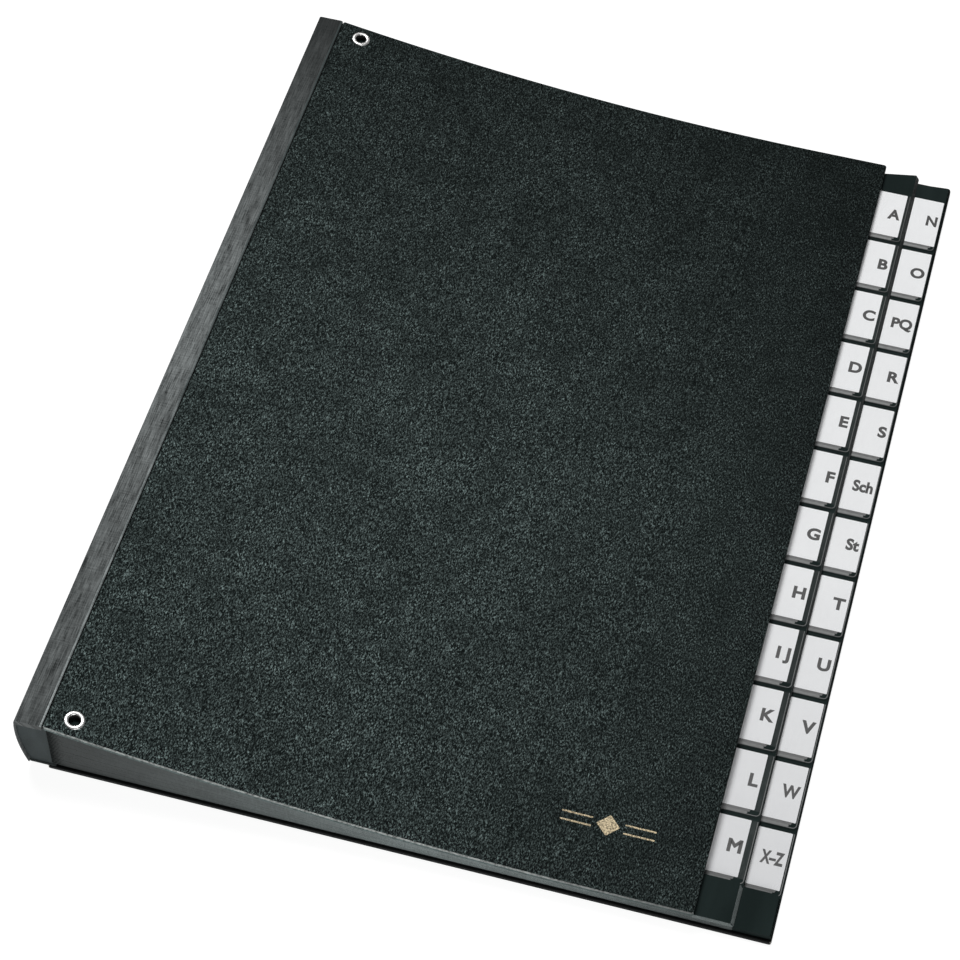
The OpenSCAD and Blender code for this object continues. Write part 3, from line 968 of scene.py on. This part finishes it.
def make_tab(level):
    """White label, its letters, the clear film over them, and the film's fold, welded seam and rim."""
    name = LEAVES[level]
    key = name.removeprefix("leaf_")
    low, high = BOX["tab_" + key]
    column = column_of(level)
    label_x1 = low.x + LABEL_W
    label_y0 = high.y - LABEL_L
    far_y = high.y + (LABEL_EXTRA_L if level == ROWS - 1 else 0)
    z = stack_z(level, low.x) + LEAF_T
    corners = box_corners((low.x, label_y0), (label_x1, far_y), 0.3 * MM)
    label = piece("label_" + key, prism(rounded(corners), z, z + LABEL_T), [LABEL], name)
    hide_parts("tab_" + key)

    text = LETTERS.get(key, key.upper())
    bm = letters_mesh(text, label_x1 - LETTER_MARGIN, far_y - LETTER_Y[column], z + LABEL_T + 0.003 * MM)
    piece("letters_" + key, bm, [INK], name)

    film_z = z + LABEL_T + 0.02 * MM
    corners = [(low.x, label_y0 - 0.3 * MM, 0), (high.x - RIM_W, label_y0 - 0.3 * MM, 0.2 * MM),
               (high.x - RIM_W, far_y, 0.2 * MM), (low.x, far_y, 0)]
    bm = prism(rounded(corners), film_z, film_z + FILM_T * 0.6)
    piece("film_" + key, bm, [FILM], name)

    seam_x1 = label_x1 - SEAM_STOP
    fold_y = label_y0 - FOLD_L
    corners = [(low.x, fold_y, 0), (seam_x1 + 0.6 * MM, fold_y, 0.3 * MM),
               (seam_x1 + 0.9 * MM, label_y0 - 0.1 * MM, 0.2 * MM), (low.x, label_y0 - 0.1 * MM, 0)]
    bm = prism(rounded(corners), z + 0.005 * MM, z + 0.06 * MM)
    piece("fold_" + key, bm, [FOLD], name)
    corners = [(low.x, low.y + 0.2 * MM, 0), (seam_x1, low.y + 0.2 * MM, 0.5 * MM),
               (seam_x1, fold_y, 0.4 * MM), (low.x, fold_y, 0)]
    bm = prism(rounded(corners), z + 0.005 * MM, z + LABEL_T)
    piece("seam_" + key, bm, [SEAM], name)

    rim = rounded([(low.x, low.y, 0), (high.x, low.y, TAB_R), (high.x, far_y, 0)], 6)
    inner = rounded([(low.x, low.y + RIM_W, 0), (high.x - RIM_W, low.y + RIM_W, TAB_R - RIM_W),
                     (high.x - RIM_W, far_y, 0)], 6)
    bm = prism(rim + inner[::-1], z + 0.005 * MM, z + 0.08 * MM)
    piece("rim_" + key, bm, [RIM], name)


for level in range(LEAF_COUNT):
    make_leaf(level)
    make_guard(level)
    make_tab(level)


# ---------------------------------------------------------------- spine

def cloth_map(made):
    """A map in metres of a spine cloth piece: along the spine, and up it."""
    layer = made.data.uv_layers.new(name=CLOTH_UV)
    for loop in made.data.loops:
        co = made.data.vertices[loop.vertex_index].co
        layer.data[loop.index].uv = (co.z + co.x, co.y)


def cloth_band(z0, z1, steps=6):
    """One band of the outer spine cloth, drawn slightly in at both its seams."""
    heights = [z0 + (z1 - z0) * s / steps for s in range(steps + 1)]
    outside = [(face_x(z) - 0.05 * MM * math.sin(math.pi * s / steps), z) for s, z in enumerate(heights)]
    inside = [(face_x(z) + CLOTH_T, z) for z in reversed(heights)]
    return lengthwise(outside + inside, -COVER_HALF_L, COVER_HALF_L)


def guard_middle(level):
    return stack_z(level, BEND_X) + GUARD_T / 2


def make_spine():
    """The outer cloth, one band from each leaf's guard to the next."""
    for level in range(LEAF_COUNT):
        z0 = SPINE_Z0 if level == 0 else guard_middle(level - 1)
        z1 = guard_middle(level)
        made = piece(f"spine_cloth_{level:02d}", cloth_band(z0, z1), [SPINE_CLOTH], None)
        cloth_map(made)
        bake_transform(made)
        if level == 0:
            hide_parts("spine_cloth")


def make_strip():
    """The cloth-covered strip on top of the spine, beside the front cover."""
    low, high = BOX["front_strip_cloth"]
    top = high.z
    tongue_z = guard_middle(LEAF_COUNT - 1)
    wall = [(face_x(z), z) for z in (tongue_z, low.z, (low.z + top) / 2)]
    roll = rounded([(face_x(top), low.z, 0), (face_x(top), top, 0.9 * MM), (high.x, top, 0.6 * MM),
                    (high.x, low.z, 0.3 * MM)], 6)[1:]
    inner = [(face_x(low.z) + CLOTH_T, low.z), (face_x(tongue_z) + CLOTH_T, tongue_z)]
    profile = wall + [(p.x, p.y) for p in roll] + inner
    # Faces turned up towards the cover get the painted highlight.
    strip = piece("front_strip_book_cloth", lengthwise(profile, -COVER_HALF_L, COVER_HALF_L),
                  [SPINE_CLOTH, STRIP_EDGE_HIGHLIGHT], "leaf_a",
                  lambda f: 1 if f.normal.x > 0.1 and f.normal.z > 0.1 else 0)
    cloth_map(strip)
    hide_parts("front_strip_cloth")
    give_material("front_strip_board", BOARD)


def make_joint_cloths():
    """Cloth in the groove between strip and cover, and from the spine's foot to the back cover."""
    strip_x = BOX["front_strip_cloth"][1].x
    top = SPINE_Z1
    sag_mm = ((-0.15, 1.1), (0.02, 1.05), (0.12, 1.2), (0.2, 1.25), (0.28, 1.2), (0.38, 1.05), (0.55, 1.1))
    over = [(strip_x + across * MM, top - down * MM) for across, down in sag_mm]
    under = [(x, z - 0.12 * MM) for x, z in reversed(over)]
    half_l = COVER_HALF_L - 0.2 * MM
    hinge = piece("groove_cloth", lengthwise(over + under, -half_l, half_l),
                  [SHADED_GROOVE_CLOTH], None)
    cloth_map(hinge)
    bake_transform(hinge)
    low, high = BOX["back_joint_cloth"]
    glued = Vector((high.x + 3 * MM, high.y - 0.3 * MM, 0))
    bm = rolled_slab((low.x, low.y + 0.3 * MM), glued, high.z - low.z, 0.15 * MM, 0.3 * MM)
    lay(bm, lambda x: low.z)
    joint = piece("back_joint_book_cloth", bm, [CLOTH], "root")
    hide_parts("back_joint_cloth")


make_spine()
make_strip()
make_joint_cloths()
